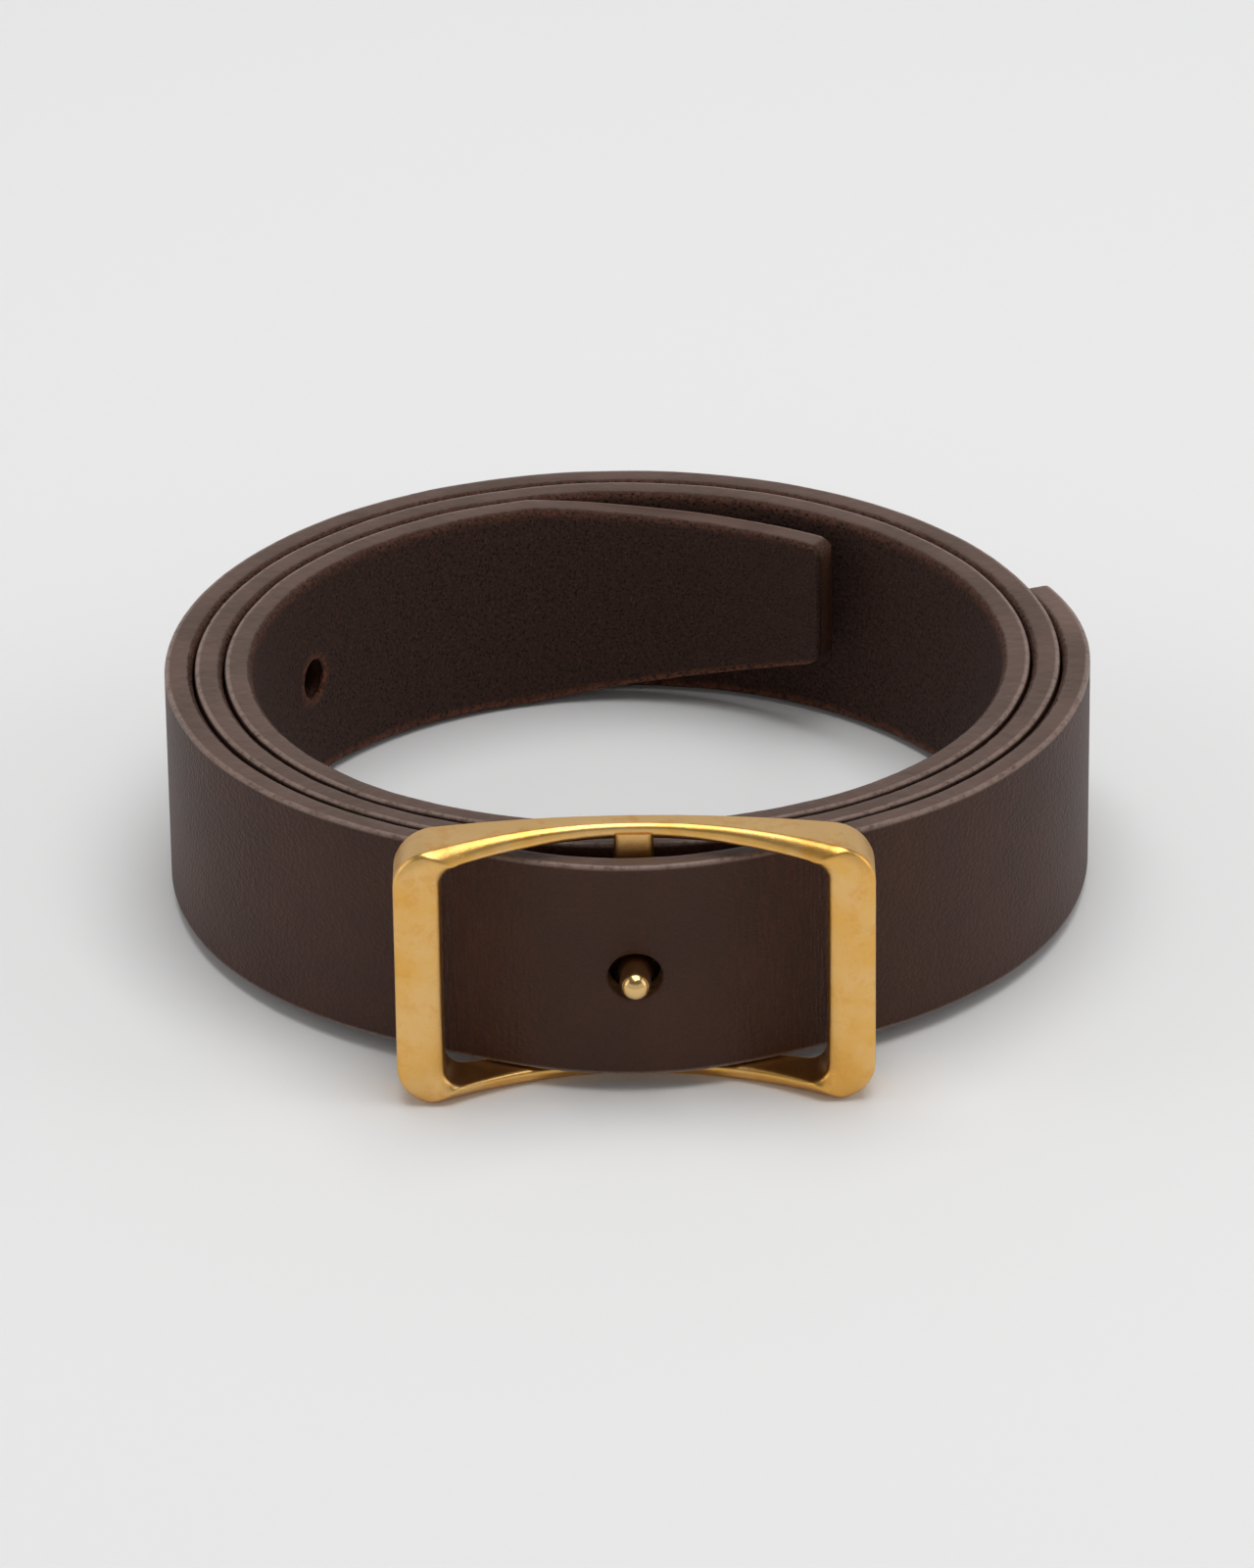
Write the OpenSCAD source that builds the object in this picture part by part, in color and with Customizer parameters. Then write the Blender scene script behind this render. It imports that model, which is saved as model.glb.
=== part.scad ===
// Coiled leather belt with a solid buckle: one strap wound nearly three turns,
// held by a stud on the hidden centre bar of a rectangular frame.
// The strap is cut into short pieces at its flex lines. Its outer half turn and its
// inner end can bend there, and the turns between them keep their shape.
// Origin: the middle of the underside of the whole belt's bounding box, +Z up,
// buckle on the -Y side.

/* [Strap] */
// Width of the strap
strap_w = 32; // [26:0.5:40]
// Thickness of the leather
strap_t = 3.7; // [2.8:0.1:4.4]
// Bevel along the strap's four long edges
edge_bevel = 0.5; // [0.2:0.1:0.9]
// Width of the strap at its outer end
tail_w = 29; // [25:0.5:30]
// Length over which the outer end narrows
tail_taper = 24; // [16:1:26]
// Corner radius of the strap's outer end
tail_corner_r = 2; // [1:0.5:4]
// Width of the strap at its narrowed inner end
tip_w = 19; // [12:1:24]
// Length over which the inner end narrows
tip_taper = 50; // [40:1:60]
// Corner radius of the strap's inner end
tip_corner_r = 3; // [1:0.5:5]
// How far the inner end rides up
tip_rise = 5.5; // [0:0.5:6]
// How far the inner end stands off the turn behind it
tip_standoff = 3.2; // [0:0.2:5]

/* [Coil] */
// Radius of the outer face of the outermost turn
coil_r = 66.2; // [60:0.5:80]
// Gap between one turn and the next at the sides and back
turn_gap = 0.6; // [0.5:0.05:1.2]
// Angle that the strap runs from the stud to its outer end
tail_angle = 113; // [104:0.5:120]
// Angle that the strap runs from the stud to its inner end
tip_angle = 938; // [930:1:945]
// Sideways offset of the coil's middle from the stud
coil_shift = 1.6; // [0:0.1:2]
// How far the strap stands beyond the coil's radius over the centre bar
strap_rise = 0.7; // [0.4:0.1:1.5]

/* [Holes] */
// Diameter of the hole that the stud passes through
stud_hole_d = 7.3; // [6.4:0.1:8]
// Diameter of the other adjustment holes
hole_d = 6.4; // [5.6:0.1:7.4]
// Distance between adjustment holes
hole_pitch = 25; // [24:0.5:26]
// Distance from the inner end to the first adjustment hole
first_hole = 92; // [90:1:94]

/* [Buckle] */
// Width of the buckle along the strap
frame_w = 65.9; // [62:0.1:72]
// Width of each end bar, seen from the front
end_bar_w = 6.5; // [5:0.1:8]
// Height of the top and bottom bars
rail_h = 2.4; // [2:0.1:4]
// Depth of the end bars from front to back
end_bar_depth = 6.9; // [5:0.1:7.5]
// Depth of the top and bottom bars at their middle
rail_depth = 3.4; // [3:0.1:4]
// Radius of the frame's outer corners
frame_corner_r = 5.5; // [3:0.5:7]
// Radius of the window's corners
window_corner_r = 3; // [2:0.5:5]
// Width of the centre bar
bar_w = 5.5; // [5:0.1:8]
// Depth of the centre bar from front to back
bar_t = 2.4; // [2:0.1:2.8]
// Bevel along the centre bar's edges
bar_edge = 0.9; // [0.4:0.1:1]
// Clearance between the window and each edge of the strap
window_clear = 1; // [0.8:0.1:2]
// How far the strap hangs below the window's middle
strap_drop = 0.7; // [0:0.1:0.7]

/* [Stud] */
// Diameter of the stud at the centre bar
stud_d = 4.8; // [4:0.1:5.2]
// Diameter of the stud under its domed end
stud_tip_d = 4.1; // [3.4:0.1:4.6]
// How far the stud stands out beyond the strap
stud_proud = 5.8; // [3:0.1:6]
// How far the stud's hole sits below the strap's middle
stud_drop = 0.8; // [0:0.1:1]
// Diameter of the tenon riveted through the centre bar
tenon_d = 3; // [2:0.1:3.2]

/* [Fits] */
// Clearance between one turn and the next under the buckle, and behind the centre bar
fit_gap = 0.3; // [0.25:0.05:0.4]
// Clearance between the centre bar and the strap in front of it
bar_gap = 0.5; // [0.4:0.05:0.7]
// Clearance between the end bars and the strap where it leaves the window
end_clear = 2; // [1.8:0.1:2.4]
// Gap left at each flex line of the strap
flex_gap = 0.3; // [0.2:0.05:0.4]

/* [Hidden] */
// Where the flex lines are, in degrees from the stud along the strap
section_half = 24;
tail_flex = [64, 88];
turn_count = 20;
turn_angle = (tip_angle - section_half) / turn_count;
tip_piece_angle = 28;
tip_flex = tip_angle - tip_piece_angle;

// How the turns are drawn in under the buckle
bar_span = 80;
bulge_span = 34;
pitch = strap_t + turn_gap;
dip_half = arc_deg(bar_span, coil_r);
bulge_half = arc_deg(bulge_span, coil_r);
strap_face = coil_r + strap_rise;
second_face = strap_face - strap_t - bar_gap - bar_t - fit_gap;
third_face = second_face - strap_t - fit_gap;
second_dip = coil_r - pitch - second_face;
third_dip = coil_r - 2 * pitch - third_face;
outer_dip = second_dip + turn_gap - fit_gap;
bar_bulge = strap_rise + outer_dip;
bulge_at = -arc_deg(coil_shift, coil_r);

// The inner end
hole_count = 5;
tip_r = coil_r - pitch * tip_angle / 360;
tip_from = tip_angle - arc_deg(tip_taper, tip_r);
hole_r_path = tip_r + pitch / 4 - strap_t / 2;

// The outer end
tail_from = tail_angle - arc_deg(tail_taper, coil_r);

// Buckle heights and depths
frame_h = strap_w + 2 * (window_clear + rail_h);
frame_mid = frame_h / 2;
strap_mid = frame_mid - strap_drop;
stud_mid = frame_mid - stud_drop;
bar_front = strap_face - strap_t - bar_gap;
rail_lead = -0.6;
rail_front = bar_front + rail_lead;
rail_back = rail_front - rail_depth;
window_w = frame_w - 2 * end_bar_w;
window_a = asin((window_w / 2 - coil_shift) / coil_r);
strap_at_window = face_r(window_a) * cos(window_a);
window_share = pow(window_w / frame_w, 2);
end_back = (strap_at_window + end_clear - rail_back * (1 - window_share)) / window_share;
end_lead = end_back - rail_back;
window_h = frame_h - 2 * rail_h;
end_front = end_back + end_bar_depth;
scoop = end_front - rail_front;
front_corner_r = 2.5;
blank_over = 4;
window_over = 6;

ring_step = 3;
turn_names = [for (i = [1:turn_count]) str("strap_turn_", i < 10 ? "0" : "", i)];

// ---- The strap's path: a is the angle run from the stud, clockwise from above ----

function arc_deg(len, r) = len / r * 180 / PI;

function swell(a, half) = abs(a) < half ? 0.5 + 0.5 * cos(180 * a / half) : 0;

function drawn_in(a) =
    outer_dip * swell(a, dip_half)
    + second_dip * swell(a - 360, dip_half)
    + third_dip * swell(a - 720, dip_half);

function tip_share(a) = max(0, (a - tip_from) / (tip_angle - tip_from));

function tail_share(a) = max(0, (-a - tail_from) / (tail_angle - tail_from));

// Radius of the strap's outer face
function face_r(a) =
    coil_r - pitch * a / 360 - drawn_in(a)
    + bar_bulge * swell(a - bulge_at, bulge_half)
    - tip_standoff * pow(tip_share(a), 1.5);

// Rounding of a square-cut end, at a distance from that end
function corner_inset(d, r) = d < r ? r - sqrt(r * r - (r - d) * (r - d)) : 0;

function half_width(a) =
    strap_w / 2
    - (strap_w - tip_w) / 2 * tip_share(a)
    - (strap_w - tail_w) / 2 * pow(tail_share(a), 1.3)
    - corner_inset(max(0, tip_angle - a) * PI / 180 * tip_r, tip_corner_r)
    - corner_inset(max(0, a + tail_angle) * PI / 180 * coil_r, tail_corner_r);

function mid_height(a) = strap_mid + tip_rise * pow(tip_share(a), 2);

// Cross-section, as depth from the outer face and height from the middle
function section(h, b) = [
    [0, b - h], [b, -h], [strap_t - b, -h], [strap_t, b - h],
    [strap_t, h - b], [strap_t - b, h], [b, h], [0, h - b]
];

function ring(a) = [
    for (p = section(half_width(a), edge_bevel))
        let (r = face_r(a) - p[0])
        [-r * sin(a) - coil_shift, -r * cos(a), mid_height(a) + p[1]]
];

// Angles of the rings, closer together along a rounded end
function even_rings(from, to) =
    let (n = ceil((to - from) / ring_step))
    [for (i = [0:n]) from + (to - from) * i / n];

function corner_rings(end, r, path_r, way) =
    [for (q = [0:18:72]) end + way * arc_deg(r * (1 - cos(q)), path_r)];

module sweep_rings(angles) {
    rings = [for (a = angles) ring(a)];
    sides = len(rings[0]);
    last = len(rings) - 1;
    walls = [
        for (i = [0:last - 1], j = [0:sides - 1])
            let (k = (j + 1) % sides, s = i * sides)
            each [[s + j, s + k, s + sides + k], [s + j, s + sides + k, s + sides + j]]
    ];
    caps = [
        [for (j = [sides - 1:-1:0]) j],
        [for (j = [0:sides - 1]) last * sides + j]
    ];
    polyhedron([for (r = rings) each r], concat(walls, caps), convexity = 6);
}

// ---- The strap's pieces ----

half_flex = arc_deg(flex_gap / 2, coil_r);

// A radial hole through the strap at angle a
module strap_hole(a, d) {
    translate([-coil_shift, 0, 0])
        rotate([0, 0, -a])
            translate([0, -face_r(a) + strap_t / 2, strap_mid])
                rotate([90, 0, 0])
                    cylinder(d = d, h = 4 * strap_t, center = true, $fn = 48);
}

module strap_piece(from, to) {
    sweep_rings(even_rings(from + half_flex, to - half_flex));
}

module strap_buckle_section() {
    color("#3b2a25")
    difference() {
        strap_piece(-section_half, section_half);
        translate([0, -strap_face + strap_t / 2, strap_mid - stud_drop])
            rotate([90, 0, 0])
                cylinder(d = stud_hole_d, h = 4 * strap_t, center = true, $fn = 64);
    }
}

module strap_tail_1() {
    color("#402e28") strap_piece(-tail_flex[0], -section_half);
}

module strap_tail_2() {
    color("#3b2a25") strap_piece(-tail_flex[1], -tail_flex[0]);
}

module strap_tail_end() {
    straight_from = -tail_angle + arc_deg(tail_corner_r, coil_r);
    color("#402e28")
        sweep_rings(concat(
            corner_rings(-tail_angle, tail_corner_r, coil_r, 1),
            even_rings(straight_from, -tail_flex[1] - half_flex)
        ));
}

// Adjustment hole k, counted from the inner end, as an angle along the strap
function hole_angle(k) = tip_angle - arc_deg(first_hole + k * hole_pitch, hole_r_path);

hole_reach = arc_deg(hole_d / 2, hole_r_path);

// One of the pieces that the turns are divided into, counted from the buckle
module strap_turn(i) {
    from = section_half + (i - 1) * turn_angle;
    to = i == turn_count ? tip_flex : from + turn_angle;
    color(i % 2 == 0 ? "#3b2a25" : "#402e28")
    difference() {
        strap_piece(from, to);
        for (k = [0:hole_count - 1])
            if (hole_angle(k) + hole_reach > from && hole_angle(k) - hole_reach < to)
                strap_hole(hole_angle(k), hole_d);
    }
}

module strap_tip() {
    straight_to = tip_angle - arc_deg(tip_corner_r, tip_r);
    ends = corner_rings(tip_angle, tip_corner_r, tip_r, -1);
    color("#402e28")
        sweep_rings(concat(
            even_rings(tip_flex + half_flex, straight_to),
            [for (i = [len(ends) - 1:-1:0]) ends[i]]
        ));
}

// ---- The buckle ----

// Rounded rectangle about the origin
function round_rect(w, h, r) = [
    for (c = [[1, 1, 0], [-1, 1, 90], [-1, -1, 180], [1, -1, 270]], q = [0:15:90])
        [
            c[0] * (w / 2 - r) + r * cos(c[2] + q),
            c[1] * (h / 2 - r) + r * sin(c[2] + q)
        ]
];

// The frame from above: deep end bars, with the rails scooped out between them
function frame_plan() = concat(
    [for (q = [0:15:90]) [
        -frame_w / 2 + front_corner_r * (1 - cos(q)),
        -end_front + front_corner_r * (1 - sin(q))
    ]],
    [for (s = [-1:0.1:1]) [s * window_w / 2, -end_front + scoop * (1 - s * s)]],
    [for (q = [90:-15:0]) [
        frame_w / 2 - front_corner_r * (1 - cos(q)),
        -end_front + front_corner_r * (1 - sin(q))
    ]],
    [for (s = [1:-0.1:-1]) [s * frame_w / 2, -end_back + end_lead * (1 - s * s)]]
);

// The centre bar from above, with its front at y = 0
function bar_plan() = [
    [-bar_w / 2, bar_edge], [bar_edge - bar_w / 2, 0],
    [bar_w / 2 - bar_edge, 0], [bar_w / 2, bar_edge],
    [bar_w / 2, bar_t - bar_edge], [bar_w / 2 - bar_edge, bar_t],
    [bar_edge - bar_w / 2, bar_t], [-bar_w / 2, bar_t - bar_edge]
];

module from_front(depth) {
    translate([0, -end_front - depth, frame_mid])
        rotate([-90, 0, 0])
            linear_extrude(end_bar_depth + rail_depth + 2 * depth)
                children();
}

module buckle_frame() {
    color("#c9993f")
    difference() {
        union() {
            difference() {
                intersection() {
                    linear_extrude(frame_h) polygon(frame_plan());
                    from_front(blank_over) polygon(round_rect(frame_w, frame_h, frame_corner_r));
                }
                from_front(window_over) polygon(round_rect(window_w, window_h, window_corner_r));
            }
            translate([0, -bar_front, rail_h / 2])
                linear_extrude(frame_h - rail_h)
                    polygon(bar_plan());
        }
        translate([0, -bar_front - 1, stud_mid])
            rotate([-90, 0, 0])
                cylinder(d = tenon_d, h = bar_t + 2, $fn = 48);
    }
}

module stud() {
    reach = strap_face + stud_proud - bar_front;
    dome = stud_tip_d / 2;
    color("#d8ab52")
        translate([0, -bar_front, stud_mid])
            rotate([90, 0, 0])
                rotate_extrude($fn = 64)
                    polygon(concat(
                        [[0, -bar_t], [tenon_d / 2, -bar_t], [tenon_d / 2, 0], [stud_d / 2, 0]],
                        [for (q = [0:15:90]) [dome * cos(q), reach - dome + dome * sin(q)]]
                    ));
}

// Moves the middle of the belt's underside to the origin
module placed() {
    x_mid = (face_r(-90) - face_r(90)) / 2 - coil_shift;
    y_mid = (face_r(180) - strap_face - stud_proud) / 2;
    translate([-x_mid, -y_mid, 0]) children();
}

placed() buckle_frame();
placed() stud();
placed() strap_buckle_section();
placed() strap_tail_1();
placed() strap_tail_2();
placed() strap_tail_end();
for (i = [1:turn_count])
    placed() strap_turn(i);
placed() strap_tip();
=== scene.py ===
"""A coiled leather belt with a solid brass buckle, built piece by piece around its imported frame."""

import math

import bmesh
import bpy
from bpy.props import FloatProperty, FloatVectorProperty, PointerProperty
from mathutils import Matrix, Vector, noise


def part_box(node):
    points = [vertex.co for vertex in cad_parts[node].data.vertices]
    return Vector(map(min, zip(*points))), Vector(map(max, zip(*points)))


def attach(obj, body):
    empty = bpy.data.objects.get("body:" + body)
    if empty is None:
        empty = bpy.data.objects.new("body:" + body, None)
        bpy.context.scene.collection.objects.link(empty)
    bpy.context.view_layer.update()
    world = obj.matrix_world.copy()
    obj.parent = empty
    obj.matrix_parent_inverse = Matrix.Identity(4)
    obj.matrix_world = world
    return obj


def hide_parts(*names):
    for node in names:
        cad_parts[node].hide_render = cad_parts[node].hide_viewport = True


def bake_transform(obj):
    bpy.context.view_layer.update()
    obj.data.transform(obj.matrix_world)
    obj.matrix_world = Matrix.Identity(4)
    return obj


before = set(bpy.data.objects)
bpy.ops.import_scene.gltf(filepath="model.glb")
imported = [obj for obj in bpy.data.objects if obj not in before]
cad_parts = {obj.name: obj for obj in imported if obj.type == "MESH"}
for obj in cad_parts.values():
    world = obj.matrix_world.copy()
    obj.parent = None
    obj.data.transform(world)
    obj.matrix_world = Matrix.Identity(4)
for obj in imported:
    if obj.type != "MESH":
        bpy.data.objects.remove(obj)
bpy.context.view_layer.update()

bl_info = {
    "name": "Coiled Leather Belt",
    "version": (1, 0, 0),
    "blender": (4, 5, 0),
    "location": "View3D > Sidebar > Belt",
    "description": "Builds a coiled leather belt with a brass buckle",
    "category": "Add Mesh",
}

MM = 0.001

# Where the strap is divided, in degrees along it from the front, negative towards the outer end
TAIL_CUT = -76
TAIL_INNER_CUT = -44
FRONT_HALF = 16
SIDE_CUT = 47
COIL_FROM = 92
COIL_CUTS = (360, 626)
TIP_CUT = 893
# Angles where the two end pieces would finish bending, and a margin from a piece's ends, passed to
# bending(), which works out points there and uses none of them
TAIL_BENT = -100
TIP_BENT = 930
FLEX_MARGIN = 1.5

# The strap's mesh size and a hole's rounding in mm, and a hole's warp in times its radius
GRID = 0.8
RIM_ROUND = 0.3
HOLE_REACH = 3

# Edges bent more sharply than this are shaded as edges
SHARP = math.radians(50)


def length_prop(name, description, default):
    return FloatProperty(
        name=name, description=description, default=default, min=0.0, unit="LENGTH"
    )


def colour_prop(name, description, default):
    return FloatVectorProperty(
        name=name,
        description=description,
        default=default,
        size=3,
        min=0.0,
        max=1.0,
        subtype="COLOR",
    )


class BeltStrapSettings(bpy.types.PropertyGroup):
    """Sizes and colours of the strap"""

    width: length_prop("Width", "Width of the strap", 0.032)
    thickness: length_prop("Thickness", "Thickness of the leather", 0.0037)
    outer_round: length_prop("Grain rounding", "Rounding of the grain side's edges", 0.0005)
    inner_round: length_prop("Flesh rounding", "Rounding of the flesh side's edges", 0.0011)
    corner: length_prop("End corner", "Corner radius of the outer end", 0.002)
    tip_width: length_prop("Tip width", "Width of the inner end", 0.019)
    tip_corner: length_prop("Tip corner", "Corner radius of the inner end", 0.003)
    hole: length_prop("Hole", "Diameter of the adjustment holes", 0.0064)
    stud_hole: length_prop("Stud hole", "Diameter of the stud's hole", 0.0073)
    grain: colour_prop("Grain", "Outer face of the leather", (0.052, 0.0195, 0.0108))
    edge: colour_prop("Edge", "Burnished edges", (0.092, 0.055, 0.042))
    # Painted highlight: the light colour of the thin line along the grain-side arris of the edges,
    # mixed in where the arris mask is set
    arris_highlight: colour_prop("Arris", "Thin worn line along the edges", (0.300, 0.215, 0.180))
    flesh: colour_prop("Flesh", "Inner face", (0.038, 0.0160, 0.0100))
    fuzz: colour_prop("Fuzz", "Frayed fibres at the edges", (0.230, 0.075, 0.038))


class BeltBuckleSettings(bpy.types.PropertyGroup):
    """Sizes and colours of the buckle and its stud"""

    width: length_prop("Width", "Width of the frame", 0.0659)
    height: length_prop("Height", "Height of the frame", 0.0388)
    end_bar: length_prop("End bar", "Width of each end bar", 0.0065)
    rail: length_prop("Rail", "Height of the top and bottom rails", 0.0024)
    corner: length_prop("Corner", "Outer corner radius", 0.0055)
    window_corner: length_prop("Window corner", "Window corner radius", 0.003)
    brass: colour_prop("Brass", "Satin brass", (0.78, 0.435, 0.108))
    pale: colour_prop("Pale brass", "Worn, paler brass", (0.82, 0.55, 0.25))
    stud: colour_prop("Stud", "Polished brass of the stud", (0.72, 0.49, 0.20))


class BeltStageSettings(bpy.types.PropertyGroup):
    """The floor and the lights"""

    floor: colour_prop("Floor", "Colour of the floor", (0.86, 0.86, 0.86))
    key: FloatProperty(name="Key", description="Power of the top light", default=12.5)
    fill: FloatProperty(name="Fill", description="Brightness all round", default=0.62)


class Coil:
    """The strap's path, in millimetres: a is the angle run clockwise from the front."""

    radius = 66.2
    turn_gap = 0.6
    thickness = 3.7
    shift = 1.6
    rise = 0.7
    fit_gap = 0.3
    bar_gap = 0.5
    bar_depth = 2.4
    bar_span = 80
    bulge_span = 34
    strap_mid = 18.7
    width = 32
    tip_width = 19
    tip_taper = 50
    tip_angle = 938
    tip_rise = 5.5
    tip_standoff = 3.2
    tail_angle = 113
    tail_width = 29
    tail_taper = 24
    stud_proud = 5.8
    stud_drop = 0.8
    first_hole = 92
    hole_pitch = 25
    hole_count = 5
    layer_swell = 0.07
    drawn_in_half = 85
    tail_bow = 0.2

    def __init__(self):
        self.pitch = self.thickness + self.turn_gap
        self.dip_half = self.degrees(self.bar_span, self.radius)
        self.bulge_half = self.degrees(self.bulge_span, self.radius)
        self.face = self.radius + self.rise
        bar = self.bar_gap + self.bar_depth + self.fit_gap
        second_face = self.face - self.thickness - bar
        third_face = second_face - self.thickness - self.fit_gap
        self.second_dip = self.radius - self.pitch - second_face
        self.third_dip = self.radius - 2 * self.pitch - third_face
        self.outer_dip = self.second_dip + self.turn_gap - self.fit_gap
        self.bulge = self.rise + self.outer_dip
        self.bulge_at = -self.degrees(self.shift, self.radius)
        self.tip_radius = self.radius - self.pitch * self.tip_angle / 360
        self.tip_from = self.tip_angle - self.degrees(self.tip_taper, self.tip_radius)
        self.tail_from = self.tail_angle - self.degrees(self.tail_taper, self.radius)
        self.x_mid = (self.face_r(-90) - self.face_r(90)) / 2 - self.shift
        self.y_mid = (self.face_r(180) - self.face - self.stud_proud) / 2

    @staticmethod
    def degrees(length, radius):
        return math.degrees(length / radius)

    @staticmethod
    def swell(a, half):
        return 0.5 + 0.5 * math.cos(math.pi * a / half) if abs(a) < half else 0.0

    def tip_share(self, a):
        return max(0.0, (a - self.tip_from) / (self.tip_angle - self.tip_from))

    def tail_share(self, a):
        return max(0.0, (-a - self.tail_from) / (self.tail_angle - self.tail_from))

    def swollen(self, a):
        """How much thicker the leather lies where the turns aren't drawn in at the front."""
        round_turn = (a + 180) % 360 - 180
        return 1 + self.layer_swell * (1 - self.swell(round_turn, self.drawn_in_half))

    def face_r(self, a):
        drawn = self.outer_dip * self.swell(a, self.dip_half)
        drawn += self.second_dip * self.swell(a - 360, self.dip_half)
        drawn += self.third_dip * self.swell(a - 720, self.dip_half)
        out = self.bulge * self.swell(a - self.bulge_at, self.bulge_half)
        stand = self.tip_standoff * self.tip_share(a) ** 1.5
        return self.radius - self.pitch * a / 360 - drawn + out - stand

    def place(self, x, y, z=0.0):
        return Vector((x - self.x_mid, y - self.y_mid, z)) * MM

    def at(self, a, depth=0.0, height=0.0):
        """A point of the strap: depth from its outer face, height from its middle."""
        share, tail = self.tip_share(a), self.tail_share(a)
        narrow = 1 - (1 - self.tip_width / self.width) * share
        narrow -= (1 - self.tail_width / self.width) * tail**1.3
        depth = depth * self.swollen(a) + self.tail_bow * tail**0.5
        r, t = self.face_r(a) - depth, math.radians(a)
        z = self.strap_mid + self.tip_rise * share * share + height * narrow
        return self.place(-r * math.sin(t) - self.shift, -r * math.cos(t), z)

    def hole_angle(self, k):
        path = self.tip_radius + self.pitch / 4 - self.thickness / 2
        return self.tip_angle - self.degrees(self.first_hole + k * self.hole_pitch, path)


COIL = Coil()
MM_PER_DEGREE = math.radians(COIL.radius - COIL.pitch)


# ---- Shader sockets as Python values ----


class Value:
    """A node socket that takes Python arithmetic."""

    def __init__(self, tree, socket):
        self.tree, self.socket = tree, socket

    def math(self, operation, other=None, third=None, flip=False):
        pair = (other, self) if flip else (self, other)
        inputs = {i: v for i, v in enumerate((*pair, third)) if v is not None}
        return self.tree.node("ShaderNodeMath", inputs, operation=operation)

    def __add__(self, other):
        return self.math("ADD", other)

    def __radd__(self, other):
        return self.math("ADD", other, flip=True)

    def __sub__(self, other):
        return self.math("SUBTRACT", other)

    def __rsub__(self, other):
        return self.math("SUBTRACT", other, flip=True)

    def __mul__(self, other):
        return self.math("MULTIPLY", other)

    def __rmul__(self, other):
        return self.math("MULTIPLY", other, flip=True)

    def absolute(self):
        return self.math("ABSOLUTE")

    def step(self, low, high):
        """0 below low, 1 above high, smooth between."""
        inputs = {"Value": self, "From Min": low, "From Max": high}
        return self.tree.node("ShaderNodeMapRange", inputs, interpolation_type="SMOOTHSTEP")


class Shader:
    """The node tree of one material or world."""

    def __init__(self, owner, surface="Principled BSDF"):
        self.owner = owner
        owner.use_nodes = True
        self.nodes = owner.node_tree.nodes
        self.links = owner.node_tree.links
        self.surface = self.nodes[surface]

    def put(self, socket, value):
        if isinstance(value, Value):
            self.links.new(value.socket, socket)
        elif socket.type == "RGBA":
            socket.default_value = (*value, 1.0)
        else:
            socket.default_value = value

    def node(self, kind, inputs=None, output=0, **settings):
        made = self.nodes.new(kind)
        for key, value in settings.items():
            setattr(made, key, value)
        for key, value in (inputs or {}).items():
            self.put(made.inputs[key], value)
        return Value(self, made.outputs[output])

    def mix(self, share, first, second):
        inputs = {0: share, 6: first, 7: second}
        return self.node("ShaderNodeMix", inputs, output=2, data_type="RGBA")

    def noise(self, where, scale, detail=3.0, rough=0.5, stretch=None):
        if stretch:
            where = self.node("ShaderNodeMapping", {"Vector": where, "Scale": stretch})
        inputs = {"Vector": where, "Scale": scale, "Detail": detail, "Roughness": rough}
        return self.node("ShaderNodeTexNoise", inputs)

    def cells(self, where, scale):
        return self.node("ShaderNodeTexVoronoi", {"Vector": where, "Scale": scale})

    def finish(self, **inputs):
        for key, value in inputs.items():
            self.put(self.surface.inputs[key.replace("_", " ")], value)
        return self.owner

    def bump(self, height, distance):
        inputs = {"Height": height, "Distance": distance, "Strength": 1.0}
        return self.node("ShaderNodeBump", inputs)


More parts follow.
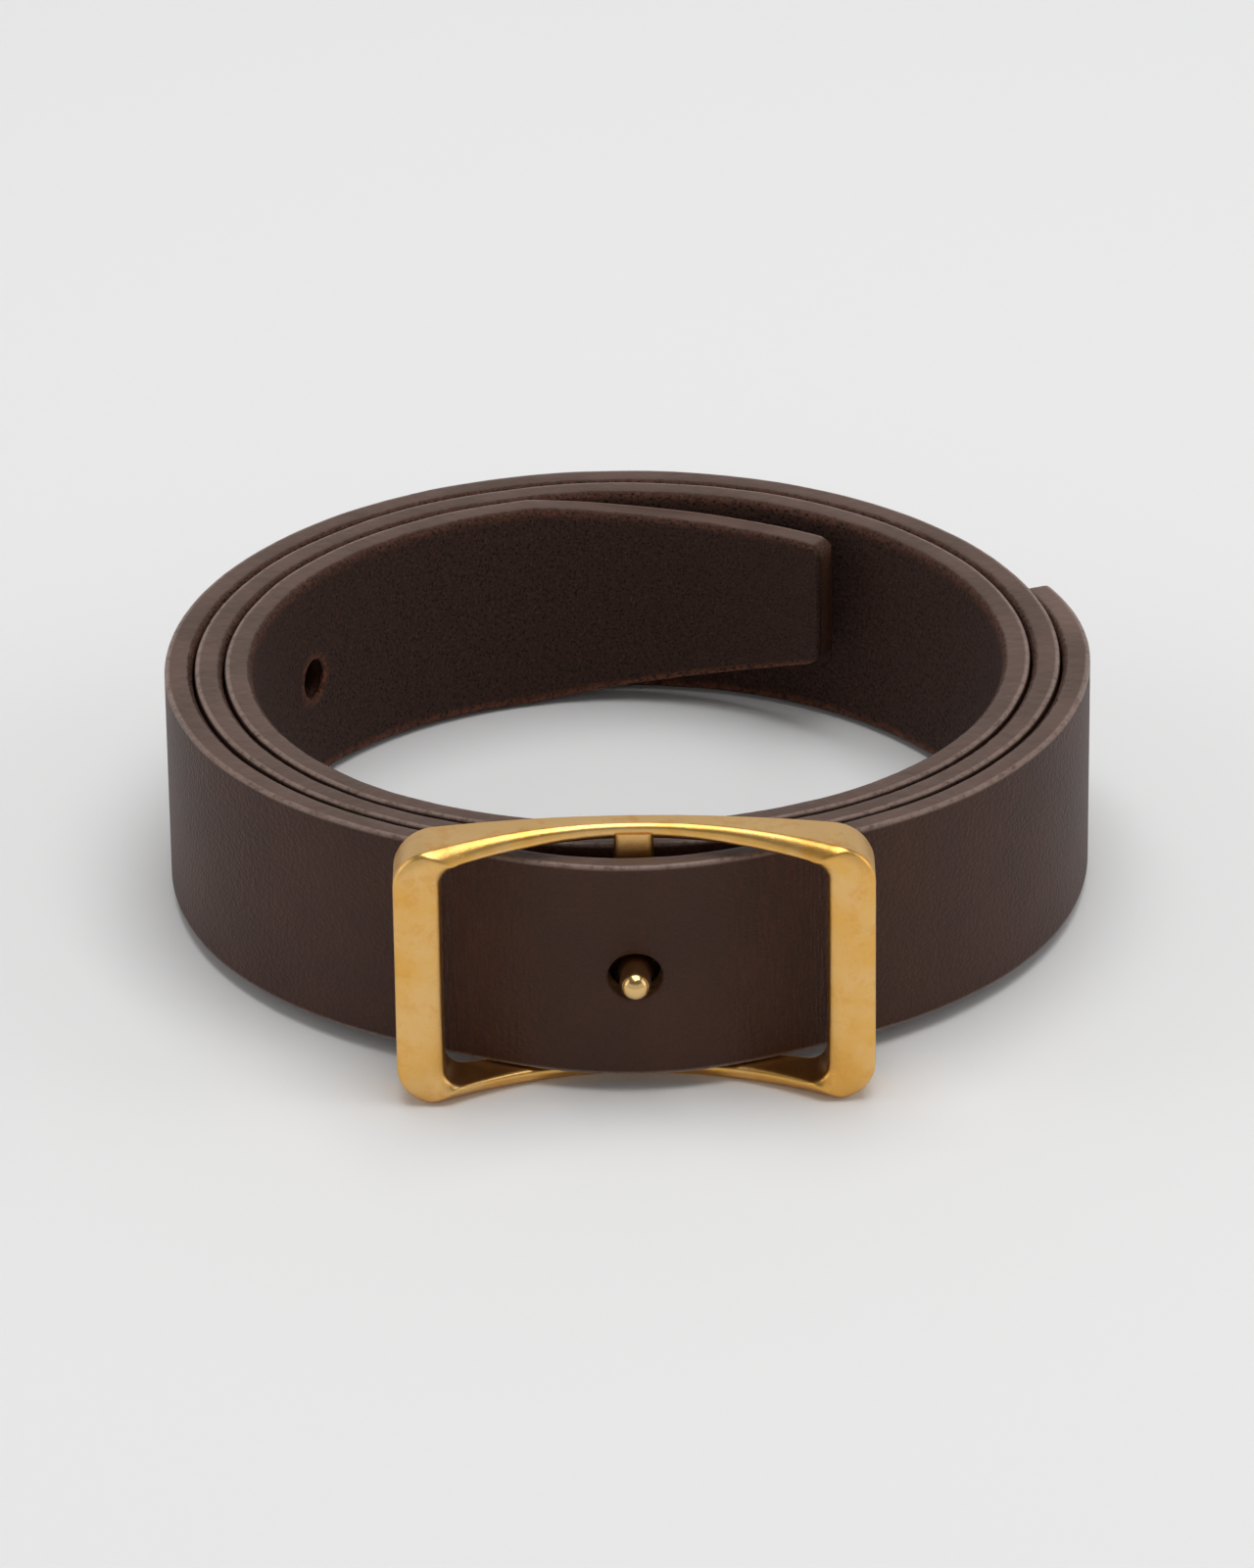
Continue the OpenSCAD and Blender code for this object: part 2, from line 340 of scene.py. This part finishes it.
def leather_material(s):
    """Grain outside, burnished edges and fibrous flesh inside, from the flat strap's own place."""
    m = Shader(bpy.data.materials.new("bridle_leather"))
    where = m.node("ShaderNodeAttribute", output=1, attribute_name="flat")
    split = m.node("ShaderNodeSeparateXYZ", {0: where}).socket.node
    along, depth, height = (Value(m, split.outputs[i]) for i in range(3))
    at_hole = m.node("ShaderNodeAttribute", output=2, attribute_name="hole_rim")
    thick = s.thickness / MM
    half = s.width / MM / 2
    ragged = m.noise(where, 1.1, 4.0, 0.65)
    from_edge = half - height.absolute()
    flesh = (depth + (ragged - 0.5) * 0.7).step(thick - 0.80, thick - 0.30)
    rim = 1 - (from_edge + (ragged - 0.5) * 0.12).step(0.15, 0.75)
    side = rim * (1 - flesh)

    pores = m.cells(where, 1.7)
    fine = m.noise(where, 3.4, 4.0, 0.6)
    crease = m.noise(where, 1.9, 3.0, 0.6, stretch=(1.0, 1.0, 0.10))
    creased = 1 - (along.absolute() - 23.0).absolute().step(2.0, 15.0)
    cloud = m.noise(where, 0.07, 3.0, 0.55)
    lump = m.noise(where, 0.45, 2.0, 0.5)
    fibre = m.noise(where, 1.9, 8.0, 0.75)
    pit = m.cells(where, 1.3)
    tuft = m.noise(where, 1.5, 5.0, 0.75)
    thread = m.noise(where, 4.6, 2.0, 0.5, stretch=(1.0, 1.0, 0.35))

    grain_dark = tuple(0.78 * v for v in s.grain)
    grain_warm = tuple(v * k for v, k in zip(s.grain, (1.25, 1.12, 0.95)))
    creases = creased * crease.step(0.40, 0.62)
    grain = m.mix(cloud.step(0.30, 0.70) * 0.5 + creases * 0.5, grain_dark, grain_warm)
    grain = m.mix(fine.step(0.52, 0.72) * 0.45, grain, tuple(1.6 * v for v in s.grain))
    flesh_light = tuple(2.2 * v for v in s.flesh)
    flesh_dark = tuple(0.25 * v for v in s.flesh)
    flesh_colour = m.mix(fibre.step(0.38, 0.64), tuple(0.70 * v for v in s.flesh), flesh_light)
    flesh_colour = m.mix((1 - pit.step(0.14, 0.36)) * 0.85, flesh_colour, flesh_dark)
    lower = 1 - height.step(-4.0, 4.0)
    near_rim = (1 - from_edge.step(0.4, 2.0)) * (lower * 0.75 + 0.25) + at_hole * 0.8
    frayed = near_rim * tuft.step(0.42, 0.54) * 1.2
    speck = thread.step(0.58, 0.66) * tuft.step(0.46, 0.56) * 0.50
    flesh_colour = m.mix(frayed + speck, flesh_colour, tuple(s.fuzz))
    edge_light = tuple(1.30 * v for v in s.edge)
    edge_colour = m.mix(cloud.step(0.35, 0.65), tuple(s.edge), edge_light)
    # Painted sheen: the edges lightened towards the tail's cut end
    tail_end_sheen = 1 - along.step(-112.0, -98.0)
    edge_colour = m.mix(tail_end_sheen * 0.6, edge_colour, tuple(1.9 * v for v in s.edge))
    # Painted highlight: a thin, ragged light line along the edge's grain-side arris, mixed into the
    # edge colour
    arris_highlight = 1 - (depth + from_edge).step(0.45, 0.80)
    edge_colour = m.mix(arris_highlight * ragged.step(0.25, 0.60) * 0.62, edge_colour, tuple(s.arris_highlight))
    colour = m.mix(side, m.mix(flesh, grain, flesh_colour), edge_colour)

    face = (1 - flesh) * (1 - rim)
    grain_height = pores * -0.13 + fine * 0.07 + crease * creased * 0.42
    flesh_height = fibre * 0.62 + pit.step(0.10, 0.45) * 0.34 + thread * 0.16
    edge_height = lump * 0.22
    relief = grain_height * face + flesh_height * flesh + edge_height * side
    rough = 0.50 + (fine - 0.5) * 0.14 + flesh * 0.16 - side * 0.06 - arris_highlight * side * 0.12
    return m.finish(
        Base_Color=colour,
        Roughness=rough,
        Normal=m.bump(relief, MM),
        Specular_IOR_Level=0.24,
    )


def brass_material(name, main, pale, smooth, mottle):
    """Cast brass: flat faces tumbled satin, roundings polished, colour mottled, fine pits."""
    m = Shader(bpy.data.materials.new(name))
    where = m.node("ShaderNodeTexCoord", output=3)
    worn = m.node("ShaderNodeAttribute", output=2, attribute_name="ground_face")
    cloud = m.noise(where, 110.0, 4.0, 0.6)
    stain = m.noise(where, 300.0, 4.0, 0.65)
    brushed = m.noise(where, 1300.0, 3.0, 0.6, stretch=(1.0, 1.0, 0.15))
    speckle = m.noise(where, 2600.0, 2.0, 0.5)
    pits = m.cells(where, 1900.0)
    colour = m.mix(cloud.step(0.40, 0.64) * 0.55 * mottle, tuple(main), tuple(pale))
    colour = m.mix(worn * 0.75, colour, tuple(pale))
    shade = tuple(v * k for v, k in zip(main, (0.92, 0.78, 0.62)))
    colour = m.mix(stain.step(0.48, 0.70) * 0.55 * mottle, colour, shade)
    colour = m.mix(speckle.step(0.58, 0.72) * 0.22 * mottle, colour, shade)
    satin = smooth + (cloud - 0.5) * 0.10 * mottle + (brushed - 0.5) * 0.05
    rough = satin + worn * 0.14
    height = brushed * 0.5 + speckle * 0.5 + (1 - pits.step(0.0, 0.20)) * -0.6
    return m.finish(
        Base_Color=colour,
        Metallic=1.0,
        Roughness=rough,
        Normal=m.bump(height, 0.00003 * mottle),
    )


# ---- The strap ----


def section_edges(bm, s):
    """Outline of the strap's section, across y (depth) and z (height), in millimetres."""
    t, w = s.thickness / MM, s.width / MM
    corners = [(0, 0, -w / 2), (0, t, -w / 2), (0, t, w / 2), (0, 0, w / 2)]
    face = bm.faces.new([bm.verts.new(c) for c in corners])
    grain_side = [v for v in face.verts if v.co.y < t / 2]
    flesh_side = [v for v in face.verts if v.co.y > t / 2]
    for verts, size in ((grain_side, s.outer_round), (flesh_side, s.inner_round)):
        bmesh.ops.bevel(
            bm,
            geom=verts,
            offset=size / MM,
            offset_type="OFFSET",
            segments=5,
            profile=0.5,
            affect="VERTICES",
            material=-1,
        )
    for edge in [e for e in bm.edges if e.calc_length() > 2 * GRID]:
        cuts = round(edge.calc_length() / GRID) - 1
        bmesh.ops.subdivide_edges(bm, edges=[edge], cuts=cuts)
    return bm.faces[:]


def flat_piece(s, start, end):
    """A straight closed length of strap: x runs in millimetres along it."""
    bm = bmesh.new()
    first = section_edges(bm, s)
    steps = max(4, round((end - start) * MM_PER_DEGREE / GRID))
    step = (end - start) * MM_PER_DEGREE / steps
    bmesh.ops.translate(bm, verts=bm.verts[:], vec=(start * MM_PER_DEGREE, 0, 0))
    bmesh.ops.spin(
        bm,
        geom=first,
        axis=(1, 0, 0),
        cent=(0, 0, 0),
        dvec=(step, 0, 0),
        angle=0,
        steps=steps,
        use_duplicate=False,
    )
    bmesh.ops.remove_doubles(bm, verts=bm.verts[:], dist=0.001)
    bmesh.ops.recalc_face_normals(bm, faces=bm.faces[:])
    return bm, step


def round_end(bm, s, end_x, way, corner):
    """Rounds the two corners of a square-cut end, seen from the side, and softens its cut."""
    half = s.width / MM / 2
    soft = s.inner_round / MM
    for v in bm.verts:
        from_end = (v.co.x - end_x) * way
        if from_end < corner:
            inset = corner - math.sqrt(max(0.0, corner**2 - (corner - from_end) ** 2))
            v.co.z *= (half - inset) / half
        if from_end < soft:
            thick = s.thickness / MM
            lift = soft - math.sqrt(max(0.0, soft**2 - (soft - from_end) ** 2))
            mid = thick / 2
            v.co.y = mid + (v.co.y - mid) * (mid - lift) / mid


def ring_up(bm, layer, a, centre_z, radius, step):
    """Warps the square grid of one face of the strap into rings round a hole's place."""
    centre_x = a * MM_PER_DEGREE
    near = min(layer, key=lambda v: abs(v.co.x - centre_x) + abs(v.co.z - centre_z))
    start_x, start_z = near.co.x, near.co.z
    heights = sorted({round(v.co.z, 4) for v in layer})
    middle = len(heights) // 2
    rise = heights[middle + 1] - heights[middle]
    rings = max(2, round(radius / GRID))
    outer = HOLE_REACH * rings
    index = {}
    for v in layer:
        column, row = round((v.co.x - start_x) / step), round((v.co.z - start_z) / rise)
        ring = max(abs(column), abs(row))
        if ring <= rings:
            index[v] = ring
        if ring > outer:
            continue
        share = max(0.0, (ring - rings) / (outer - rings))
        share = share * share * (3 - 2 * share)
        way = Vector((column, row)).normalized()
        out = radius * ring / rings if ring <= rings else radius + (ring - rings) * GRID
        v.co.x = (centre_x + way.x * out) * (1 - share) + v.co.x * share
        v.co.z = (centre_z + way.y * out) * (1 - share) + v.co.z * share
    return index


def punch(bm, a, centre_z, diameter, step, thick):
    """A round hole through a flat piece at angle a and height centre_z."""
    inside = {}
    for y in (0.0, thick):
        layer = [v for v in bm.verts if abs(v.co.y - y) < 1e-4]
        inside.update(ring_up(bm, layer, a, centre_z, diameter / MM / 2, step))
    gone = [f for f in bm.faces if all(v in inside for v in f.verts)]
    bmesh.ops.delete(bm, geom=gone, context="FACES")
    rims = [e for e in bm.edges if e.is_boundary]
    bmesh.ops.bridge_loops(bm, edges=rims)
    rims = [e for e in rims if e.is_valid]
    bmesh.ops.bevel(
        bm,
        geom=rims,
        offset=RIM_ROUND,
        offset_type="OFFSET",
        segments=2,
        profile=0.5,
        affect="EDGES",
        material=-1,
    )
    loose = [v for v in bm.verts if not v.link_faces]
    bmesh.ops.delete(bm, geom=loose, context="VERTS")


def strap_mesh(s, name, start, end, holes):
    """One length of the strap, made flat and then bent onto the coil."""
    bm, step = flat_piece(s, start, end)
    thick, half = s.thickness / MM, s.width / MM / 2
    for a, z, diameter in holes:
        punch(bm, a, z, diameter - RIM_ROUND * MM, step, thick)
    if start <= -COIL.tail_angle:
        round_end(bm, s, start * MM_PER_DEGREE, 1, s.corner / MM)
    if end >= COIL.tip_angle:
        narrow = s.width / s.tip_width
        round_end(bm, s, end * MM_PER_DEGREE, -1, s.tip_corner / MM * narrow**0.5)
    flat = bm.verts.layers.float_vector.new("flat")
    hole_rim = bm.verts.layers.float.new("hole_rim")
    for v in bm.verts:
        x, y, z = v.co
        v[flat] = (x, y, z)
        for a, hole_z, diameter in holes:
            out = math.hypot(x - a * MM_PER_DEGREE, z - hole_z) - diameter / MM / 2
            v[hole_rim] = max(v[hole_rim], 1 - max(0.0, out) / 1.2)
        inner = max(0.0, (y / thick - 0.6) / 0.4)
        rim = max(0.0, (abs(z) - half + 2) / 2)
        nap = noise.fractal(Vector((x * 0.55, y * 0.3, z * 0.55)), 0.7, 2.0, 3)
        wave = noise.noise(Vector((x * 0.07, 3.0 if z > 0 else 9.0, 0.0)))
        nick = noise.noise(Vector((x * 0.18, y * 0.3, z * 0.2)))
        y += 0.05 * inner * nap
        z += math.copysign(rim * (0.10 * wave + 0.05 * nick - 0.10), z)
        v.co = COIL.at(x / MM_PER_DEGREE, y, z)
    bmesh.ops.recalc_face_normals(bm, faces=bm.faces[:])
    return object_from(bm, name)


def object_from(bm, name):
    """A smooth-shaded object at the origin, with its place in its mesh."""
    for face in bm.faces:
        face.smooth = True
    for edge in bm.edges:
        if len(edge.link_faces) == 2 and edge.calc_face_angle(0.0) > SHARP:
            edge.smooth = False
    mesh = bpy.data.meshes.new(name)
    bm.to_mesh(mesh)
    bm.free()
    obj = bpy.data.objects.new(name, mesh)
    bpy.context.scene.collection.objects.link(obj)
    return obj


def dress(obj, material):
    obj.data.materials.append(material)
    return obj


def turn_names(first, last):
    return [f"strap_turn_{i:02d}" for i in range(first, last + 1)]


class BELT_OT_strap(bpy.types.Operator):
    """Make the leather strap in lengths, the front length and the three coil turns each parented to
    an empty
    """

    bl_idname = "belt.strap"
    bl_label = "Strap"

    def execute(self, context):
        s = context.scene.belt_strap
        leather = leather_material(s)

        def length(name, start, end, nodes, holes=()):
            obj = strap_mesh(s, name, start, end, holes)
            dress(obj, leather)
            if nodes:
                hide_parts(*nodes)
            return obj

        def bending(obj, near, far):
            """Works out the strap's middle points just inside near and far, which nothing uses, and
            bakes obj's place into its mesh.
            """
            way = math.copysign(FLEX_MARGIN, far - near)
            COIL.at(near + way, COIL.thickness / 2)
            COIL.at(far - way, COIL.thickness / 2)
            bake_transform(obj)

        end = length("strap_end", -COIL.tail_angle, TAIL_CUT, ["strap_tail_end"])
        bending(end, TAIL_CUT, TAIL_BENT)
        outer = length("strap_outer_tail", TAIL_CUT, TAIL_INNER_CUT, ["strap_tail_2"])
        bending(outer, TAIL_INNER_CUT, TAIL_CUT)
        inner = length("strap_inner_tail", TAIL_INNER_CUT, -FRONT_HALF, ["strap_tail_1"])
        bending(inner, -FRONT_HALF, TAIL_INNER_CUT)
        stud_at = -math.degrees(math.asin(COIL.shift / COIL.face))
        front = length(
            "strap_front",
            -FRONT_HALF,
            FRONT_HALF,
            ["strap_buckle_section"],
            [(stud_at, -COIL.stud_drop, s.stud_hole)],
        )
        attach(front, "strap_buckle_section")
        side = length("strap_side", FRONT_HALF, SIDE_CUT, [])
        bending(side, SIDE_CUT, FRONT_HALF)
        outer_turn = length("strap_outer_turn", SIDE_CUT, COIL_FROM, ["strap_turn_01"])
        bending(outer_turn, COIL_FROM, SIDE_CUT)

        holes = [(COIL.hole_angle(k), 0.0, s.hole) for k in range(COIL.hole_count)]
        cuts = (COIL_FROM, *COIL_CUTS, TIP_CUT)
        nodes = (turn_names(2, 7), turn_names(8, 13), turn_names(14, 20))
        for k, name in enumerate(("first", "second", "third")):
            inside = [h for h in holes if cuts[k] < h[0] < cuts[k + 1]]
            turn = length(f"strap_{name}_turn", cuts[k], cuts[k + 1], nodes[k], inside)
            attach(turn, "coil")
        tip = length("strap_inner_end", TIP_CUT, COIL.tip_angle, ["strap_tip"])
        bending(tip, TIP_CUT, TIP_BENT)
        return {"FINISHED"}


# ---- The buckle ----

# Steps along a quarter of the frame's outline, and round a bar's section
SIDE_STEPS, CORNER_STEPS, RAIL_STEPS = 16, 16, 36
ROUND_STEPS = 10
SECTION_STEPS = 4 * (ROUND_STEPS + 2)

# Depth of the end bars, and how far the rails bow in at the front and out at the back, in mm
END_DEPTH = 6.9
SCOOP, BACK_BOW = 8.33, 4.83

# Unevenness of the casting: its height in mm and the scales of its two noises
DENT = 0.035
BROAD_DENT, SMALL_DENT = 0.35, 0.9

# The centre bar's width and rounding, and the radius of the stud's dome, in mm
BAR_WIDE, BAR_ROUND = 5.5, 0.9
STUD_DOME = 2.05
DOME_STEPS, TURNED_STEPS = 10, 48


def quarter_outline(width, height, radius):
    """Points from the middle of the right side up round its corner to the middle of the top."""
    x, z = width / 2, height / 2
    points = [(x, (z - radius) * i / SIDE_STEPS) for i in range(SIDE_STEPS)]
    for i in range(CORNER_STEPS):
        t = math.pi / 2 * i / CORNER_STEPS
        points.append((x - radius + radius * math.cos(t), z - radius + radius * math.sin(t)))
    for i in range(RAIL_STEPS + 1):
        points.append(((x - radius) * (1 - i / RAIL_STEPS), z))
    return points


def outline(width, height, radius):
    q = quarter_outline(width, height, radius)
    left = [(-x, z) for x, z in reversed(q[:-1])]
    upper = q + left
    return upper + [(x, -z) for x, z in reversed(upper[1:-1])]


def bar_section(wide, deep):
    """A bar's section, x from the window out and y from front to back, with ground_face shares."""
    rounds = (
        (1, -1, 0.46 * wide, min(1.15, 0.30 * deep)),
        (1, 1, 0.35, 0.35),
        (-1, 1, 0.5, 0.5),
        (-1, -1, 0.46 * wide, min(1.7, 0.42 * deep)),
    )
    points = []
    for k, (side, back, rx, ry) in enumerate(rounds):
        for i in range(ROUND_STEPS + 2):
            t = math.radians(-90 + 90 * k + 90 * min(i, ROUND_STEPS) / ROUND_STEPS)
            x = side * (wide / 2 - rx) + rx * math.cos(t)
            y = back * (deep / 2 - ry) + ry * math.sin(t)
            ground = 1.0 if (k == 0 and i >= ROUND_STEPS) or (k == 1 and i == 0) else 0.0
            points.append([x, y, ground])
    for k in range(4):
        last = (k + 1) * (ROUND_STEPS + 2) - 1
        after = points[(last + 1) % len(points)]
        points[last][0] = (points[last - 1][0] + after[0]) / 2
        points[last][1] = (points[last - 1][1] + after[1]) / 2
    return points


def frame_mesh(b):
    """The cast frame: a ring whose every section runs from the window to the outline."""
    w, h = b.width / MM, b.height / MM
    window_w, window_h = w - 2 * b.end_bar / MM, h - 2 * b.rail / MM
    outer = outline(w, h, b.corner / MM)
    inner = outline(window_w, window_h, b.window_corner / MM)
    count = len(outer)
    low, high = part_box("buckle_frame")
    front, mid_z = low.y / MM, (low.z + high.z) / 2 / MM
    mid_x = (low.x + high.x) / 2 / MM
    bm = bmesh.new()
    ring = bmesh.ops.create_circle(
        bm,
        segments=SECTION_STEPS,
        radius=1.0,
        matrix=Matrix.Translation((3, 0, 0)),
    )
    bmesh.ops.spin(
        bm,
        geom=list({e for v in ring["verts"] for e in v.link_edges}),
        axis=(0, 1, 0),
        cent=(0, 0, 0),
        angle=2 * math.pi,
        steps=count,
        use_merge=True,
    )
    ground_face = bm.verts.layers.float.new("ground_face")
    sections = {}
    for v in bm.verts:
        turn = math.atan2(v.co.z, v.co.x) % (2 * math.pi)
        k = round(turn / (2 * math.pi) * count) % count
        around = math.atan2(v.co.y, math.hypot(v.co.x, v.co.z) - 3)
        j = round((around + math.pi / 2) / (2 * math.pi) * SECTION_STEPS) % SECTION_STEPS
        (ox, oz), (ix, iz) = outer[k], inner[k]
        if k not in sections:
            mid = (ox + ix) / 2
            y_front = front + SCOOP * (1 - min(1.0, abs(mid) / (window_w / 2)) ** 2)
            y_back = front + END_DEPTH + BACK_BOW * (1 - min(1.0, abs(mid) / (w / 2)) ** 2)
            wide = math.hypot(ox - ix, oz - iz)
            sections[k] = (wide, y_front, y_back, bar_section(wide, y_back - y_front))
        wide, y_front, y_back, section = sections[k]
        across, deep, v[ground_face] = section[j]
        p = across / wide
        x = (ox + ix) / 2 + p * (ox - ix)
        z = (oz + iz) / 2 + p * (oz - iz)
        y = (y_front + y_back) / 2 + deep
        spot = Vector((x, y, z))
        lump = noise.noise(spot * BROAD_DENT) + 0.5 * noise.noise(spot * SMALL_DENT)
        dent = DENT * lump * (1 - abs(2 * p) ** 6 * 0.9)
        v.co = Vector((mid_x + x, y + dent, mid_z + z)) * MM
    bmesh.ops.recalc_face_normals(bm, faces=bm.faces[:])
    return bm


def add_bar(bm, b):
    """The hidden centre bar, rounded, running into both rails."""
    low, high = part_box("buckle_frame")
    stud_low, stud_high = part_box("stud")
    bar = bmesh.ops.create_cube(bm, size=1.0)["verts"]
    tall = b.height - b.rail
    bmesh.ops.scale(bm, vec=(BAR_WIDE * MM, COIL.bar_depth * MM, tall), verts=bar)
    place = (
        (stud_low.x + stud_high.x) / 2,
        stud_high.y - COIL.bar_depth * MM / 2,
        (low.z + high.z) / 2,
    )
    bmesh.ops.translate(bm, vec=place, verts=bar)
    upright = [
        e
        for e in {e for v in bar for e in v.link_edges}
        if abs(e.verts[0].co.z - e.verts[1].co.z) > b.rail
    ]
    bmesh.ops.bevel(
        bm,
        geom=upright,
        offset=BAR_ROUND * MM,
        offset_type="OFFSET",
        segments=4,
        profile=0.5,
        affect="EDGES",
        material=-1,
    )


class BELT_OT_buckle(bpy.types.Operator):
    """Make the cast brass frame with its centre bar"""

    bl_idname = "belt.buckle"
    bl_label = "Buckle"

    def execute(self, context):
        b = context.scene.belt_buckle
        bm = frame_mesh(b)
        add_bar(bm, b)
        obj = object_from(bm, "cast_frame")
        dress(obj, brass_material("buckle_brass", b.brass, b.pale, 0.30, 1.0))
        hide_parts("buckle_frame")
        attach(obj, "buckle")
        return {"FINISHED"}


class BELT_OT_stud(bpy.types.Operator):
    """Make the turned stud with its domed end"""

    bl_idname = "belt.stud"
    bl_label = "Stud"

    def execute(self, context):
        b = context.scene.belt_buckle
        low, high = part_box("stud")
        tenon, dome = COIL.bar_depth, STUD_DOME
        reach = (high.y - low.y) / MM - tenon
        # Each point is a radius and a distance out from the centre bar's face
        profile = [(0, -tenon), (1.3, -tenon), (1.5, 0.3 - tenon), (1.5, -0.1)]
        profile += [(2.2, -0.1), (2.4, 0.15), (2.36, 1.0), (2.2, reach - dome - 1.2)]
        for i in range(DOME_STEPS + 1):
            t = math.pi / 2 * i / DOME_STEPS
            profile.append((dome * math.cos(t), reach - dome + dome * math.sin(t)))
        bm = bmesh.new()
        verts = [bm.verts.new((r, -d, 0)) for r, d in profile]
        edges = [bm.edges.new(pair) for pair in zip(verts, verts[1:])]
        bmesh.ops.spin(
            bm,
            geom=edges,
            axis=(0, 1, 0),
            cent=(0, 0, 0),
            angle=2 * math.pi,
            steps=TURNED_STEPS,
            use_merge=True,
        )
        bmesh.ops.remove_doubles(bm, verts=bm.verts[:], dist=0.001)
        bmesh.ops.recalc_face_normals(bm, faces=bm.faces[:])
        centre = ((low.x + high.x) / 2, high.y - tenon * MM, (low.z + high.z) / 2)
        move = Matrix.Translation(centre) @ Matrix.Scale(MM, 4)
        bmesh.ops.transform(bm, matrix=move, verts=bm.verts[:])
        obj = object_from(bm, "domed_stud")
        dress(obj, brass_material("stud_brass", b.stud, b.pale, 0.20, 0.5))
        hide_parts("stud")
        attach(obj, "buckle")
        return {"FINISHED"}


# ---- The stage ----

FLOOR_HALF = 6.0
FLOOR_DROP = 0.0001
FLOOR_TILT = math.radians(1.16)
CAMERA_DISTANCE = 1.2923
CAMERA_ELEVATION = math.radians(26.5)
CAMERA_ROLL = math.radians(0.71)
LENS = 205.9
AIM_X, AIM_Z = 0.79, 14.18

# Each light's name, place, size and share of the key light's power
LIT_POINT = (0, 0, 0.02)
LIGHTS = (
    ("key", (0.10, 0.05, 1.4), (1.4, 1.0), 1.0),
    ("left_box", (-1.5, -0.1, 0.7), (0.9, 1.2), 0.22),
    ("right_box", (1.5, -0.1, 0.7), (0.9, 1.2), 0.28),
)


def area_light(name, place, size, power):
    data = bpy.data.lights.new(name, "AREA")
    data.shape = "RECTANGLE"
    data.size, data.size_y = size
    data.energy = power
    obj = bpy.data.objects.new(name, data)
    bpy.context.scene.collection.objects.link(obj)
    obj.location = place
    obj.rotation_euler = (Vector(LIT_POINT) - Vector(place)).to_track_quat("-Z", "Y").to_euler()


class BELT_OT_stage(bpy.types.Operator):
    """Make the pale floor, the soft lights and the camera"""

    bl_idname = "belt.stage"
    bl_label = "Stage"

    def execute(self, context):
        g = context.scene.belt_stage
        bm = bmesh.new()
        bmesh.ops.create_grid(bm, x_segments=1, y_segments=1, size=FLOOR_HALF)
        front = COIL.place(0, -COIL.face, 0)
        turn = Matrix.Rotation(FLOOR_TILT, 4, "X")
        place = Matrix.Translation((0, front.y, -FLOOR_DROP)) @ turn
        bmesh.ops.transform(bm, matrix=place, verts=bm.verts[:])
        floor = object_from(bm, "floor")
        paper = Shader(bpy.data.materials.new("pale_floor"))
        paper = paper.finish(Base_Color=tuple(g.floor), Roughness=0.9)
        floor.data.materials.append(paper)

        world = bpy.data.worlds.new("soft_studio")
        context.scene.world = world
        sky = Shader(world, "Background")
        way = sky.node("ShaderNodeTexCoord", output=0)
        split = sky.node("ShaderNodeSeparateXYZ", {0: way}).socket.node
        up = Value(sky, split.outputs[2])
        dark_band = up.step(0.42, 0.60) * (1 - up.step(0.86, 0.95))
        sky.finish(Color=(1.0, 1.0, 1.0), Strength=g.fill * (1 - dark_band * 0.75))
        context.scene.view_settings.view_transform = "Standard"
        for name, at, size, share in LIGHTS:
            area_light(name, at, size, g.key * share)

        data = bpy.data.cameras.new("camera")
        data.lens = LENS
        data.sensor_width = 36
        data.clip_start, data.clip_end = 0.05, 50
        camera = bpy.data.objects.new("camera", data)
        context.scene.collection.objects.link(camera)
        context.scene.camera = camera
        target = COIL.place(-COIL.shift + AIM_X, 0, AIM_Z)
        back = Vector((0, -math.cos(CAMERA_ELEVATION), math.sin(CAMERA_ELEVATION)))
        camera.location = target + back * CAMERA_DISTANCE
        look = (-back).to_track_quat("-Z", "Y").to_matrix().to_4x4()
        camera.rotation_euler = (look @ Matrix.Rotation(-CAMERA_ROLL, 4, "Z")).to_euler()
        return {"FINISHED"}


class BELT_PT_panel(bpy.types.Panel):
    """Sizes, colours and pieces of the belt"""

    bl_label = "Belt"
    bl_idname = "BELT_PT_panel"
    bl_space_type = "VIEW_3D"
    bl_region_type = "UI"
    bl_category = "Belt"

    def draw(self, context):
        for operator in OPERATORS:
            self.layout.operator(operator.bl_idname)
        for group in ("belt_strap", "belt_buckle", "belt_stage"):
            settings = getattr(context.scene, group)
            box = self.layout.box()
            for name in settings.__annotations__:
                box.prop(settings, name)


OPERATORS = (BELT_OT_strap, BELT_OT_buckle, BELT_OT_stud, BELT_OT_stage)
SETTINGS = (BeltStrapSettings, BeltBuckleSettings, BeltStageSettings)
CLASSES = (*SETTINGS, *OPERATORS, BELT_PT_panel)


def register():
    for cls in CLASSES:
        bpy.utils.register_class(cls)
    bpy.types.Scene.belt_strap = PointerProperty(type=BeltStrapSettings)
    bpy.types.Scene.belt_buckle = PointerProperty(type=BeltBuckleSettings)
    bpy.types.Scene.belt_stage = PointerProperty(type=BeltStageSettings)


def unregister():
    del bpy.types.Scene.belt_stage
    del bpy.types.Scene.belt_buckle
    del bpy.types.Scene.belt_strap
    for cls in reversed(CLASSES):
        bpy.utils.unregister_class(cls)


def main():
    register()
    bpy.ops.belt.strap()
    bpy.ops.belt.buckle()
    bpy.ops.belt.stud()
    bpy.ops.belt.stage()
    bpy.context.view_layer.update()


if __name__ == "__main__":
    main()
